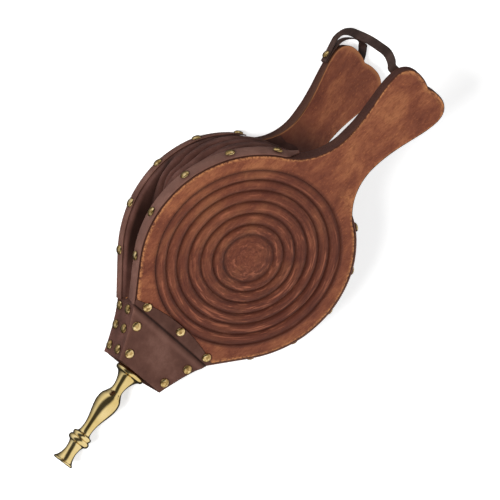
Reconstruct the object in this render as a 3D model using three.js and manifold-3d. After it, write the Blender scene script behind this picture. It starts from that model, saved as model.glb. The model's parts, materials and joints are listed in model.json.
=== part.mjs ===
// Hand bellows for a hearth: two pear-shaped wooden boards with flared handles, joined by a
// leather gusset, with a turned brass nozzle in the nose block.
//
// Frame, in millimetres: z = 0 is the outer face of the rear board, on which the bellows lies,
// +Z points to the turned front board, +X to the handles and -X to the nozzle. x = y = 0 is the
// middle of the rear board's round part. The front board is drawn closed, parallel to the rear
// board, and a group turned about the leather hinge opens it.
import * as THREE from "three";
import { mergeVertices } from "three/addons/utils/BufferGeometryUtils.js";
import Module from "manifold-3d";

const wasm = await Module();
wasm.setup();

// Boards
const boardThickness = 16;
const closedGap = 4;
const discRadius = 106.5;
const discX = -1.5;
const shoulderAngle = 125;
const neckHalfWidth = 22.2;
const neckRadius = 60;
const handleHalfWidth = 34;
const handleWideX = 216;
const lobeX = 234.3;
const lobeY = 15.5;
const notchX = 231.3;
const edgeChamfer = 1.2;
const taperStartX = 150;
const taperEndX = 236;
const taperDepth = 6;

// Nose and hinge
const noseX = -154.4;
const noseHalfWidth = 26.6;
const creaseX = -106;
const creaseHalfWidth = 51;
const tongueThickness = 8;
const frontFaceZ = 2 * boardThickness + closedGap;
const leather = 1.2;
const gap = 0.3;
const hingeZ = frontFaceZ + gap + leather / 2;
const openAngle = 17.8;

// Turned rings on the front board, from the middle outwards
const grooveRadii = [24.5, 35.2, 46.8, 58.9, 70.1, 80.8, 91.2];
const grooveDepths = [3.2, 3.4, 3.4, 3.4, 3.2, 2.8, 1.2];
const crestDepths = [1.6, 1.6, 1.6, 1.5, 1.3, 0.6];
const domeRadius = 18;
const domeDepth = 0.8;

// Air way and valve
const airZ = 17.5;
const airRadius = 5;
const airEndX = -60;
const nozzleBore = 4;
const spigotRadius = 6.4;
const spigotLength = 18;
const intakeX = 32;
const intakeRadius = 15;
const flapHingeX = 8;
const flapHalfWidth = 22;
const flapThickness = 3;

// Leather strips and straps
const frontBandWidth = 14.4;
const rearBandWidth = 10;
const strapWidth = 9;
const strapThickness = 1.4;
const strapZ = 9.5;

// Tacks
const tackRadius = 4.7;
const tackHeight = 2.5;
const smallTackRadius = 3;
const smallTackHeight = 1.3;

const woodFinish = { color: 0x7d4630, roughness: 0.5, metalness: 0 };
const leatherFinish = { color: 0x553a32, roughness: 0.65, metalness: 0 };
const strapFinish = { color: 0x33211a, roughness: 0.7, metalness: 0 };
const brassFinish = { color: 0xc9a352, roughness: 0.2, metalness: 1 };

const object = new THREE.Group();
const opening = new THREE.Group();
opening.position.set(creaseX, 0, hingeZ);
opening.rotation.y = -THREE.MathUtils.degToRad(openAngle);
object.add(opening);
// Pieces of the front board are placed in closed coordinates inside this group.
const front = new THREE.Group();
front.position.set(-creaseX, 0, -hingeZ);
opening.add(front);

function piece(name, geometry, finish, parent = object) {
  const mesh = new THREE.Mesh(geometry, new THREE.MeshStandardMaterial(finish));
  mesh.name = name;
  parent.add(mesh);
  return mesh;
}

// ---- Solids ----

function solid(geometry) {
  const bare = geometry.clone();
  bare.deleteAttribute("normal");
  bare.deleteAttribute("uv");
  const merged = mergeVertices(bare, 1e-4);
  return new wasm.Manifold(
    new wasm.Mesh({
      numProp: 3,
      vertProperties: merged.attributes.position.array,
      triVerts: new Uint32Array(merged.index.array),
    }),
  );
}

function cut(geometry, ...tools) {
  let left = solid(geometry);
  for (const tool of tools) left = left.subtract(solid(tool));
  const mesh = left.getMesh();
  const result = new THREE.BufferGeometry();
  result.setAttribute("position", new THREE.BufferAttribute(mesh.vertProperties, 3));
  result.setIndex(new THREE.BufferAttribute(mesh.triVerts, 1));
  const faceted = result.toNonIndexed();
  faceted.computeVertexNormals();
  return faceted;
}

// A solid between an inner and an outer grid of points, given as [station][row].
function skin(inner, outer) {
  const stations = inner.length;
  const rows = inner[0].length;
  const positions = [];
  for (const grid of [inner, outer]) {
    for (const station of grid) for (const point of station) positions.push(...point.toArray());
  }
  const index = [];
  const at = (side, station, row) => (side * stations + station) * rows + row;
  const quad = (a, b, c, d) => index.push(a, b, c, a, c, d);
  for (let s = 0; s + 1 < stations; s++) {
    for (let r = 0; r + 1 < rows; r++) {
      quad(at(0, s, r), at(0, s + 1, r), at(0, s + 1, r + 1), at(0, s, r + 1));
      quad(at(1, s, r), at(1, s, r + 1), at(1, s + 1, r + 1), at(1, s + 1, r));
    }
    quad(at(0, s, 0), at(1, s, 0), at(1, s + 1, 0), at(0, s + 1, 0));
    quad(at(0, s, rows - 1), at(0, s + 1, rows - 1), at(1, s + 1, rows - 1), at(1, s, rows - 1));
  }
  const last = stations - 1;
  for (let r = 0; r + 1 < rows; r++) {
    quad(at(0, 0, r), at(0, 0, r + 1), at(1, 0, r + 1), at(1, 0, r));
    quad(at(0, last, r), at(1, last, r), at(1, last, r + 1), at(0, last, r + 1));
  }
  const geometry = new THREE.BufferGeometry();
  geometry.setAttribute("position", new THREE.Float32BufferAttribute(positions, 3));
  geometry.setIndex(index);
  geometry.computeVertexNormals();
  return geometry;
}

function lathe(profile, segments) {
  const points = profile.map(([radius, height]) => new THREE.Vector2(radius, height));
  return new THREE.LatheGeometry(points, segments);
}

function plate(outline, thickness, z, chamfer = 0) {
  const geometry = new THREE.ExtrudeGeometry(new THREE.Shape(outline), {
    depth: thickness - 2 * chamfer,
    bevelEnabled: chamfer > 0,
    bevelThickness: chamfer,
    bevelSize: chamfer,
    bevelOffset: -chamfer,
    bevelSegments: 1,
  });
  return geometry.translate(0, 0, z + chamfer);
}

function box(x0, x1, y0, y1, z0, z1) {
  const geometry = new THREE.BoxGeometry(x1 - x0, y1 - y0, z1 - z0);
  return geometry.translate((x0 + x1) / 2, (y0 + y1) / 2, (z0 + z1) / 2);
}

// ---- The outline of one side, from the nose to the notch between the handle's lobes ----

const radians = THREE.MathUtils.degToRad;
const neckAngle = Math.asin((neckHalfWidth + neckRadius) / (discRadius + neckRadius));
const neckX = discX + (discRadius + neckRadius) * Math.cos(neckAngle);
const neckY = neckHalfWidth + neckRadius;
const shoulderX = discX + discRadius * Math.cos(radians(shoulderAngle));
const shoulderY = discRadius * Math.sin(radians(shoulderAngle));

function bezier(...coordinates) {
  const points = [];
  for (let i = 0; i < 8; i += 2) {
    points.push(new THREE.Vector2(coordinates[i], coordinates[i + 1]));
  }
  return new THREE.CubicBezierCurve(...points);
}

const noseSide = bezier(noseX, noseHalfWidth, -140, 32, -118, 41.5, creaseX, creaseHalfWidth);
const shoulderSide = bezier(
  creaseX, creaseHalfWidth, -94, 60.6, shoulderX - 13.1, shoulderY - 9.2, shoulderX, shoulderY,
);
const discSide = new THREE.EllipseCurve(
  discX, 0, discRadius, discRadius, radians(shoulderAngle), neckAngle, true,
);
const neckSide = new THREE.EllipseCurve(
  neckX, neckY, neckRadius, neckRadius, neckAngle - Math.PI, -Math.PI / 2, false,
);
const handleSide = bezier(
  neckX, neckHalfWidth, neckX + 31, neckHalfWidth, 195, handleHalfWidth, handleWideX, handleHalfWidth,
);
const cornerSide = bezier(
  handleWideX, handleHalfWidth, 228, handleHalfWidth, lobeX, 26, lobeX, lobeY,
);
const lobeSide = bezier(lobeX, lobeY, lobeX, 9, 233, 4, notchX, 0);

// Stations along a side: the point, its outward direction, and lift, which is 0 where the leather
// lies on the boards' edges and 1 where it crosses the neck between the boards.
function stations(curve, steps, skipFirst = false) {
  const list = [];
  for (let i = skipFirst ? 1 : 0; i <= steps; i++) {
    const point = curve.getPoint(i / steps);
    const tangent = curve.getTangent(i / steps);
    list.push({ x: point.x, y: point.y, nx: -tangent.y, ny: tangent.x, lift: 0 });
  }
  return list;
}

function mirrored(list) {
  return list.map((s) => ({ ...s, y: -s.y, ny: -s.ny })).reverse();
}

const noseStations = stations(noseSide, 4);
const shoulderStations = stations(shoulderSide, 4, true);
const discStations = stations(discSide, 14, true);
const handleStations = [
  ...stations(neckSide, 5, true),
  ...stations(handleSide, 5, true),
  ...stations(cornerSide, 4, true),
  ...stations(lobeSide, 3, true),
];

function outline(list) {
  const left = list.map((s) => new THREE.Vector2(s.x, s.y));
  const right = list.map((s) => new THREE.Vector2(s.x, -s.y)).reverse();
  if (list[list.length - 1].y < gap) right.shift();
  return [...left, ...right].reverse();
}

const boardSide = [...shoulderStations, ...discStations, ...handleStations];

// ---- Boards, nose block and nozzle ----

// The thin end of a handle: a wedge that starts at taperStartX on the face at height z.
function handleWedge(z, below) {
  const sign = below ? 1 : -1;
  const profile = new THREE.Shape([
    new THREE.Vector2(taperStartX, z),
    new THREE.Vector2(taperStartX, z - sign),
    new THREE.Vector2(taperEndX, z - sign),
    new THREE.Vector2(taperEndX, z + sign * taperDepth),
  ]);
  const wedge = new THREE.ExtrudeGeometry(profile, {
    depth: 4 * handleHalfWidth,
    bevelEnabled: false,
  });
  return wedge.rotateX(Math.PI / 2).translate(0, 2 * handleHalfWidth, 0);
}

function airTool(x0, x1, radius) {
  const tool = new THREE.CylinderGeometry(radius, radius, x1 - x0, 16);
  return tool.rotateZ(Math.PI / 2).translate((x0 + x1) / 2, 0, airZ);
}

const intakeTool = new THREE.CylinderGeometry(intakeRadius, intakeRadius, 3 * boardThickness, 24)
  .rotateX(Math.PI / 2)
  .translate(intakeX, 0, 0);

const lapTool = box(noseX - 1, creaseX, -discRadius, discRadius, tongueThickness, frontFaceZ);

piece(
  "rear_board",
  cut(
    plate(outline([...noseStations, ...boardSide]), boardThickness, 0, edgeChamfer),
    lapTool,
    intakeTool,
    airTool(creaseX - 1, airEndX, airRadius),
    handleWedge(0, true),
  ),
  woodFinish,
);

// The rings are cut by one tool, whose underside is the turned face.
function ringTool() {
  const profile = [
    [0, -domeDepth],
    [domeRadius / 2, -domeDepth - 0.2],
    [domeRadius, -domeDepth - 0.8],
  ];
  grooveRadii.forEach((radius, i) => {
    profile.push([radius, -grooveDepths[i]]);
    if (i < crestDepths.length) {
      profile.push([(radius + grooveRadii[i + 1]) / 2, -crestDepths[i]]);
    }
  });
  const rim = grooveRadii[grooveRadii.length - 1] + 1;
  profile.push([rim, 0], [rim, 1], [0, 1]);
  return lathe(profile, 40).rotateX(Math.PI / 2).translate(0, 0, frontFaceZ);
}

const frontSide = [
  { x: creaseX + gap, y: creaseHalfWidth + gap * 0.8, nx: 0, ny: 1, lift: 0 },
  ...boardSide,
];

piece(
  "front_board",
  cut(
    plate(outline(frontSide), boardThickness, frontFaceZ - boardThickness, edgeChamfer),
    ringTool(),
    airTool(creaseX - 1, airEndX, airRadius),
    handleWedge(frontFaceZ - boardThickness, true),
  ),
  woodFinish,
  front,
);

const blockSide = noseStations.map((s) => ({ ...s, x: s.x === creaseX ? creaseX - gap : s.x }));

piece(
  "nose_block",
  cut(
    plate(outline(blockSide), frontFaceZ - gap - tongueThickness - gap, tongueThickness + gap),
    airTool(noseX - 1, creaseX + 1, airRadius),
    airTool(noseX - 1, noseX + spigotLength + 1, spigotRadius + gap),
  ),
  woodFinish,
);

// Radius and distance from the nose face along the nozzle, from flange to tip.
const nozzleProfile = [
  [14, 0], [15.1, 1.2], [15.2, 3], [14.2, 4.6], [12.6, 5.2], [11.4, 6], [9.8, 8], [8.2, 11],
  [6.7, 15.5], [6, 20], [6.5, 24], [8.6, 28], [10.7, 32], [11.5, 37.5], [11, 43],
  [9.4, 49.5], [7.4, 56.5], [5.9, 64], [5.8, 71], [6.9, 74], [9.2, 75], [10, 76.6], [9.4, 78.4],
  [9.3, 79], [10.5, 80], [11.1, 82], [10.2, 84.2], [8.2, 85.4], [7, 88], [6.3, 92], [6.3, 96.5],
  [7.4, 101], [9.3, 104.6], [10.4, 105.8], [10.4, 106.8], [9.2, 107.6],
];
const nozzleLength = nozzleProfile[nozzleProfile.length - 1][1];

piece(
  "nozzle",
  lathe(
    [
      [nozzleBore, -spigotLength],
      [spigotRadius, -spigotLength],
      [spigotRadius, 0],
      ...nozzleProfile,
      [nozzleBore, nozzleLength],
      [nozzleBore, -spigotLength],
    ],
    14,
  )
    .rotateZ(Math.PI / 2)
    .translate(noseX - gap, 0, airZ),
  brassFinish,
);

// ---- Gusset and edge bands ----

// A point of the front board, drawn closed, moved to where it is with the bellows open at rest.
function opened(x, y, z) {
  const turn = radians(openAngle);
  const dx = x - creaseX;
  const dz = z - hingeZ;
  return new THREE.Vector3(
    creaseX + dx * Math.cos(turn) - dz * Math.sin(turn),
    y,
    hingeZ + dx * Math.sin(turn) + dz * Math.cos(turn),
  );
}

const foldDepth = 6;
const foldReach = 40;

// One station of the gusset: up the rear board's edge, in at the fold, and up the front board's edge.
function gussetStation(s, offset) {
  const x = s.x + s.nx * offset;
  const y = s.y + s.ny * offset;
  const mix = THREE.MathUtils.lerp;
  const low = mix(1, boardThickness + 0.4, s.lift);
  const rearRim = mix(boardThickness - 0.4, boardThickness + 1.2, s.lift);
  const frontInner = boardThickness + closedGap;
  const frontRim = mix(frontInner + 0.4, frontInner - 1.2, s.lift);
  const high = mix(frontFaceZ - 1, frontInner - 0.4, s.lift);
  if (s.x <= creaseX) {
    return [low, rearRim, boardThickness + closedGap / 2, frontRim, high].map(
      (z) => new THREE.Vector3(x, y, z),
    );
  }
  const start = new THREE.Vector3(x, y, rearRim);
  const end = opened(x, y, frontRim);
  const fold = start.clone().lerp(end, 0.5);
  const depth = foldDepth * Math.min(1, start.distanceTo(end) / foldReach);
  fold.x -= s.nx * depth;
  fold.y -= s.ny * depth;
  return [new THREE.Vector3(x, y, low), start, fold, end, opened(x, y, high)];
}

const neckStations = [];
const neckSteps = 8;
for (let i = 1; i < neckSteps; i++) {
  const angle = neckAngle * (1 - (2 * i) / neckSteps);
  neckStations.push({
    x: discX + discRadius * Math.cos(angle),
    y: discRadius * Math.sin(angle),
    nx: Math.cos(angle),
    ny: Math.sin(angle),
    lift: 1,
  });
}
const gussetSide = [...noseStations, ...shoulderStations, ...discStations];
gussetSide[gussetSide.length - 1] = { ...gussetSide[gussetSide.length - 1], lift: 1 };
const gussetStations = [...gussetSide, ...neckStations, ...mirrored(gussetSide)];

piece(
  "gusset",
  skin(
    gussetStations.map((s) => gussetStation(s, gap)),
    gussetStations.map((s) => gussetStation(s, gap + leather)),
  ),
  leatherFinish,
);

const bandInner = 2 * gap + leather;
const bandOuter = bandInner + leather;
const bandStations = [...shoulderStations, ...discStations];

// A strip of leather whose lower rim is at height z. A station's keep is the share of the width
// that is left there.
function band(name, list, z, width, parent) {
  const grid = (offset) =>
    list.map((s) =>
      [z, z + width * (s.keep ?? 1)].map(
        (height) => new THREE.Vector3(s.x + s.nx * offset, s.y + s.ny * offset, height),
      ),
    );
  piece(name, skin(grid(bandInner), grid(bandOuter)), leatherFinish, parent);
}

// The front board's bands run on round the neck and end in a tapered tip.
const tipShares = [[0.09, 0.85], [0.18, 0.6], [0.27, 0.25]];
const tipStations = tipShares.map(([share, keep]) => {
  const point = neckSide.getPoint(share);
  const tangent = neckSide.getTangent(share);
  return { x: point.x, y: point.y, nx: -tangent.y, ny: tangent.x, keep };
});
const frontBandStations = [...bandStations, ...tipStations];

const rearBandZ = 1;
const frontBandZ = frontFaceZ - 0.6 - frontBandWidth;
band("rear_band_left", bandStations, rearBandZ, rearBandWidth, object);
band("rear_band_right", mirrored(bandStations), rearBandZ, rearBandWidth, object);
band("front_band_left", frontBandStations, frontBandZ, frontBandWidth, front);
band("front_band_right", mirrored(frontBandStations), frontBandZ, frontBandWidth, front);

// ---- Leather over the nose and across the hinge ----

const coverSide = noseStations.map((s) => ({
  ...s,
  x: s.x === creaseX ? creaseX - gap : s.x,
  y: s.y + leather + gap,
}));
piece("nose_cover", plate(outline(coverSide), leather, frontFaceZ + gap), leatherFinish);

// The strip on the front board ends in a shallow arc between two corners at the board's edges.
const stripCornerX = -101.2;
const stripCornerY = 54.4;
const stripMiddleX = -88.5;
const stripEdge = new THREE.QuadraticBezierCurve(
  new THREE.Vector2(stripCornerX, stripCornerY),
  new THREE.Vector2(2 * stripMiddleX - stripCornerX, 0),
  new THREE.Vector2(stripCornerX, -stripCornerY),
);
const hingeLeatherOutline = [
  new THREE.Vector2(creaseX + gap, creaseHalfWidth),
  ...stripEdge.getPoints(10),
  new THREE.Vector2(creaseX + gap, -creaseHalfWidth),
];
piece(
  "hinge_leather",
  plate(hingeLeatherOutline.reverse(), leather, frontFaceZ + gap),
  leatherFinish,
  front,
);

// ---- Intake valve inside, over the hole in the rear board ----

const flapStartX = flapHingeX + 1.5;
const flapShape = new THREE.Shape();
flapShape.moveTo(flapStartX, -flapHalfWidth);
flapShape.lineTo(intakeX, -flapHalfWidth);
flapShape.absarc(intakeX, 0, flapHalfWidth, -Math.PI / 2, Math.PI / 2, false);
flapShape.lineTo(flapStartX, flapHalfWidth);
piece(
  "valve_flap",
  plate(flapShape.getPoints(6), flapThickness, boardThickness + gap),
  leatherFinish,
);
const tabStartX = -4;
const tabThickness = 2;
piece(
  "valve_tab",
  box(
    tabStartX, flapHingeX - gap, -flapHalfWidth, flapHalfWidth,
    boardThickness + gap, boardThickness + gap + tabThickness,
  ),
  leatherFinish,
);

// ---- Straps at the handles ----

// A flat strap along a curve, with its width square to the curve. The width lies along Z up to
// twistStart and along the direction `turned` from twistEnd on.
function strap(name, path, turned, twistStart, twistEnd, steps) {
  const curve = new THREE.CatmullRomCurve3(path, false, "centripetal");
  const inner = [];
  const outer = [];
  for (let i = 0; i <= steps; i++) {
    const t = i / steps;
    const point = curve.getPoint(t);
    const along = curve.getTangent(t);
    const angle = (Math.PI / 2) * THREE.MathUtils.smoothstep(t, twistStart, twistEnd);
    const across = new THREE.Vector3(0, 0, Math.cos(angle));
    across.addScaledVector(turned, Math.sin(angle));
    across.addScaledVector(along, -across.dot(along)).normalize();
    const normal = new THREE.Vector3().crossVectors(across, along).normalize();
    const edge = (side, face) =>
      point
        .clone()
        .addScaledVector(across, (side * strapWidth) / 2)
        .addScaledVector(normal, (face * strapThickness) / 2);
    inner.push([edge(-1, -1), edge(1, -1)]);
    outer.push([edge(-1, 1), edge(1, 1)]);
  }
  piece(name, skin(inner, outer), strapFinish);
}

const loopOffset = gap + strapThickness / 2;
const strapOffset = 2 * gap + 1.5 * strapThickness;
const handleEdgeY = (x) => handleHalfWidth - 0.0095 * (handleWideX - x) ** 2;
const undersideZ = (x) => (taperDepth * (x - taperStartX)) / (taperEndX - taperStartX);
const frontInnerZ = (x) => boardThickness + closedGap + undersideZ(x);

strap(
  "hanging_loop",
  [
    new THREE.Vector3(202.5, handleEdgeY(202.5) + loopOffset + 0.4, strapZ),
    new THREE.Vector3(210, handleEdgeY(210) + loopOffset + 0.2, strapZ),
    new THREE.Vector3(218, handleHalfWidth + loopOffset + 0.5, strapZ),
    new THREE.Vector3(228.3, 34.8, strapZ),
    new THREE.Vector3(234.3, 32.1, strapZ),
    new THREE.Vector3(238.7, 28.2, strapZ),
    new THREE.Vector3(242.3, 23.6, strapZ),
    new THREE.Vector3(244.9, 19.4, strapZ - 0.3),
    new THREE.Vector3(246, 15, strapZ - 0.8),
    new THREE.Vector3(245.2, 10.5, 7.8),
    new THREE.Vector3(242, 6.5, 6.6),
    new THREE.Vector3(237.5, 2.5, 5.4),
    new THREE.Vector3(231, -0.5, undersideZ(231) - loopOffset),
    new THREE.Vector3(223, -2, undersideZ(223) - loopOffset),
    new THREE.Vector3(215, -2, undersideZ(215) - loopOffset),
  ],
  new THREE.Vector3(0, -1, 0),
  0.54,
  0.7,
  32,
);

// The strap turns in under the front handle from its edge, with its width along the handle.
const frontEndX = 220;
const frontEndZ = frontInnerZ(frontEndX) - loopOffset;
const innerSlope = Math.atan(taperDepth / (taperEndX - taperStartX));
const alongHandle = radians(openAngle) + innerSlope;
strap(
  "connecting_strap",
  [
    new THREE.Vector3(202.5, handleEdgeY(202.5) + strapOffset + 0.4, strapZ),
    new THREE.Vector3(210, handleEdgeY(210) + strapOffset + 0.4, strapZ),
    new THREE.Vector3(220.8, 39.3, strapZ + 0.1),
    new THREE.Vector3(228.6, 41.3, 11),
    new THREE.Vector3(235.2, 42, 16.6),
    new THREE.Vector3(237.4, 41.8, 25.9),
    new THREE.Vector3(236.4, 41.3, 37.9),
    new THREE.Vector3(232.5, 40.2, 63.8),
    new THREE.Vector3(226.9, 39.2, 84.8),
    new THREE.Vector3(221.1, 38.4, 102),
    new THREE.Vector3(213.3, 37.7, 114.5),
    opened(frontEndX, 36.4, frontEndZ - 2.5),
    opened(frontEndX, 33, frontEndZ - 0.2),
    opened(frontEndX, 27, frontEndZ),
    opened(frontEndX, 20, frontEndZ),
    opened(frontEndX, 15, frontEndZ),
  ],
  new THREE.Vector3(-Math.cos(alongHandle), 0, -Math.sin(alongHandle)),
  0.2,
  0.4,
  48,
);

// ---- Tacks ----

function tack(name, point, direction, parent, radius = tackRadius, height = tackHeight) {
  const profile = [
    [0, 0],
    [radius, 0],
    [radius * 0.8, height * 0.62],
    [radius * 0.4, height * 0.94],
    [0, height],
  ];
  const mesh = piece(name, lathe(profile, 8), brassFinish, parent);
  mesh.quaternion.setFromUnitVectors(new THREE.Vector3(0, 1, 0), direction.clone().normalize());
  mesh.position.copy(point).addScaledVector(direction, gap);
}

// A tack driven into an edge, at a share of the way along one side's curve.
function edgeTack(name, curve, share, side, z, offset, parent) {
  const point = curve.getPoint(share);
  const tangent = curve.getTangent(share);
  const outward = new THREE.Vector3(-tangent.y, side * tangent.x, 0);
  const seat = new THREE.Vector3(point.x, side * point.y, z).addScaledVector(outward, offset);
  tack(name, seat, outward, parent);
}

const bandTacks = [
  [discSide, 0.965],
  [discSide, 0.71],
  [discSide, 0.455],
  [discSide, 0.2],
  [shoulderSide, 0.82],
];
const cheekTackShares = [0.17, 0.53, 0.87];
const cheekTackHeights = [8, 26];
const frontTackZ = frontBandZ + frontBandWidth / 2;
const rearTackZ = rearBandZ + rearBandWidth / 2;
for (const [word, side] of [["left", 1], ["right", -1]]) {
  bandTacks.forEach(([curve, share], i) => {
    edgeTack(`rear_band_${word}_tack_${i + 1}`, curve, share, side, rearTackZ, bandOuter, object);
    edgeTack(`front_band_${word}_tack_${i + 1}`, curve, share, side, frontTackZ, bandOuter, front);
  });
  cheekTackHeights.forEach((z, row) => {
    cheekTackShares.forEach((share, i) => {
      const number = row * cheekTackShares.length + i + 1;
      edgeTack(`cheek_${word}_tack_${number}`, noseSide, share, side, z, gap + leather, object);
    });
  });
}

const up = new THREE.Vector3(0, 0, 1);
const coverTopZ = frontFaceZ + gap + leather;
const coverTacks = [[-144.5, 25], [-120.5, 36.5], [-144.5, -25], [-120.5, -36.5]];
coverTacks.forEach(([x, y], i) => {
  tack(`nose_cover_tack_${i + 1}`, new THREE.Vector3(x, y, coverTopZ), up, object);
});
const hingeTacks = [[-100, 41], [-97, -3.5], [-99.5, -44.5]];
hingeTacks.forEach(([x, y], i) => {
  tack(`hinge_leather_tack_${i + 1}`, new THREE.Vector3(x, y, coverTopZ), up, front);
});
for (const [i, y] of [-13, 13].entries()) {
  const seat = new THREE.Vector3(2, y, boardThickness + gap + tabThickness);
  tack(`valve_tack_${i + 1}`, seat, up, object, smallTackRadius, smallTackHeight);
}

const strapTackX = 209.5;
const strapTackSeat = new THREE.Vector3(
  strapTackX, handleEdgeY(strapTackX) + strapOffset + strapThickness / 2 + 0.7, strapZ,
);
tack("strap_tack_rear", strapTackSeat, new THREE.Vector3(-0.1, 1, 0).normalize(), object, 4.2, 2.2);
const down = new THREE.Vector3(0, 0, -1);
const frontTackSeat = new THREE.Vector3(
  frontEndX, 22, frontInnerZ(frontEndX) - 2 * loopOffset + gap - 0.3,
);
tack("strap_tack_front", frontTackSeat, down, front, smallTackRadius, smallTackHeight);
const loopTackSeat = new THREE.Vector3(218.5, -2, undersideZ(218.5) - 2 * loopOffset + gap - 0.3);
tack("loop_tack", loopTackSeat, down, object, smallTackRadius, smallTackHeight);

export default object;
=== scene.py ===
"""Hand bellows: the looks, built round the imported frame.

Lengths are in metres, in the frame's own axes: z = 0 is the rear board's outer face, +X points to
the handles, -X to the nozzle and +Z to the turned front board. Pieces of the front board are
drawn closed, parallel to the rear board, and turned about the hinge by opened().
"""

import json
import math

import bmesh
import bpy
import numpy as np
from mathutils import Matrix, Vector


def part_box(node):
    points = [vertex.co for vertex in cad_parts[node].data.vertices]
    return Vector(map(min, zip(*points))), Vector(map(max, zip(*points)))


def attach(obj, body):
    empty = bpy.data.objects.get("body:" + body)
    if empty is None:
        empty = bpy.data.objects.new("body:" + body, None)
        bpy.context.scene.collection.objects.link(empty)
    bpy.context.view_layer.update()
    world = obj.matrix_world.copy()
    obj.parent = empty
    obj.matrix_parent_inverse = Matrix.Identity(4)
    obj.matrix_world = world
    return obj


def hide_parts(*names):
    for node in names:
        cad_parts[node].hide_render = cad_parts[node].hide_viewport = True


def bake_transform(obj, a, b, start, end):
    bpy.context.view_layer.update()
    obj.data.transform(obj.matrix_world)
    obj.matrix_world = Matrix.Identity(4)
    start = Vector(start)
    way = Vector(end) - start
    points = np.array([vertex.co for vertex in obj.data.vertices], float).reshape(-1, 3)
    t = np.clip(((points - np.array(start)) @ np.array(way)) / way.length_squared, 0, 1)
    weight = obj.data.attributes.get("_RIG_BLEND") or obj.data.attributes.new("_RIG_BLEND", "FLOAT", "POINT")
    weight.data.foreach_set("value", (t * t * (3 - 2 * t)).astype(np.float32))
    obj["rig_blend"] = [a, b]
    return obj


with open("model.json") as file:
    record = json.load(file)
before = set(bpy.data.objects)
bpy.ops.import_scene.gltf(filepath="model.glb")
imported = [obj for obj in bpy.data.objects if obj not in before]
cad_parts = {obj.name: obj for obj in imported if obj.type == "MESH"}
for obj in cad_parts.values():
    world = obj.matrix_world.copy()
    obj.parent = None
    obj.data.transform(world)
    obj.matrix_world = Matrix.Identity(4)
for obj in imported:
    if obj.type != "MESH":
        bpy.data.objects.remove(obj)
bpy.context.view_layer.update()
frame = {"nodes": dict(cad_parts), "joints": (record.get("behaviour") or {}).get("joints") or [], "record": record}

# ---- Camera: from above, on the side of the open gusset ----

CAMERA_PLACE = Vector((-0.26954, 0.79608, 1.39888))
CAMERA_LOOK = Vector((0.17226, -0.50270, -0.84713))
CAMERA_UP = Vector((0.78490, 0.58967, -0.19031))
CAMERA_LENS = 119.56


def make_camera():
    camera = bpy.data.objects.new("camera", bpy.data.cameras.new("camera"))
    camera.data.lens = CAMERA_LENS
    camera.data.sensor_width = 36
    camera.data.clip_end = 50
    right = CAMERA_LOOK.cross(CAMERA_UP)
    turn = Matrix((right, CAMERA_UP, -CAMERA_LOOK)).transposed().to_4x4()
    camera.matrix_world = Matrix.Translation(CAMERA_PLACE) @ turn
    bpy.context.scene.collection.objects.link(camera)
    bpy.context.scene.camera = camera


make_camera()

# ---- Driving dimensions ----

mm = 0.001
REAR, FRONT, VALVE = "rear_assembly", "front_assembly", "valve"
joints = {joint["name"]: joint for joint in frame["joints"]}
HINGE = Vector(joints["front_board_hinge"]["pos_m"])
OPEN_ANGLE = math.radians(17.8)

THICK = 16 * mm
CLOSED_GAP = 4 * mm
FRONT_INNER = THICK + CLOSED_GAP
FRONT_FACE = FRONT_INNER + THICK
DISC_RADIUS = 106.5 * mm
DISC_X = -1.5 * mm
SHOULDER_ANGLE = math.radians(125)
NECK_HALF = 22.2 * mm
NECK_RADIUS = 60 * mm
HANDLE_HALF = 34 * mm
HANDLE_WIDE_X = 216 * mm
LOBE_X = 234.3 * mm
LOBE_Y = 15.5 * mm
NOTCH_X = 231.3 * mm
NOSE_X = -154.4 * mm
NOSE_HALF = 26.6 * mm
CREASE_X = HINGE.x
CREASE_HALF = 51 * mm
TAPER_START = 150 * mm
TAPER_END = 236 * mm
TAPER = 6 * mm
LEATHER = 1.2 * mm
GAP = 0.3 * mm
FACE_ROUND = 1.5 * mm
INNER_ROUND = 0.8 * mm

# the turned rings, in millimetres: radii of the grooves, depths of the grooves and of the crests
# between them, and the width over which the last groove rises to the plain rim
GROOVES = [24.5, 35.2, 46.8, 58.9, 70.1, 80.8, 91.2]
GROOVE_DEPTHS = [3.2, 3.4, 3.4, 3.4, 3.2, 2.8, 1.2]
CREST_DEPTHS = [1.1, 1.1, 1.1, 1.0, 0.9, 0.4]
RINGS_RIM = 1.0
DOME_RADIUS = 18 * mm
DOME_DEPTH = 0.8 * mm
RINGS_END = 95 * mm

AIR_Z = 17.5 * mm
AIR_RADIUS = 5 * mm
INTAKE_X = 32 * mm
INTAKE_RADIUS = 15 * mm
NOSE_FLOOR = 8 * mm


def mix(a, b, t):
    return a + (b - a) * t


def smooth_step(value, low, high):
    share = np.clip((value - low) / (high - low), 0, 1)
    return share * share * (3 - 2 * share)


def opened(points):
    """Points of the front board, drawn closed, moved to where they are with the bellows open."""
    moved = np.array(points, float)
    dx = moved[..., 0] - HINGE.x
    dz = moved[..., 2] - HINGE.z
    c, s = math.cos(OPEN_ANGLE), math.sin(OPEN_ANGLE)
    moved[..., 0] = HINGE.x + dx * c - dz * s
    moved[..., 2] = HINGE.z + dx * s + dz * c
    return moved


# ---- The outline of one side, from the nose to the notch between the handle's lobes ----


def run_lengths(points):
    steps = np.linalg.norm(np.diff(points, axis=0), axis=1)
    return np.concatenate([[0], np.cumsum(steps)])


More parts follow.
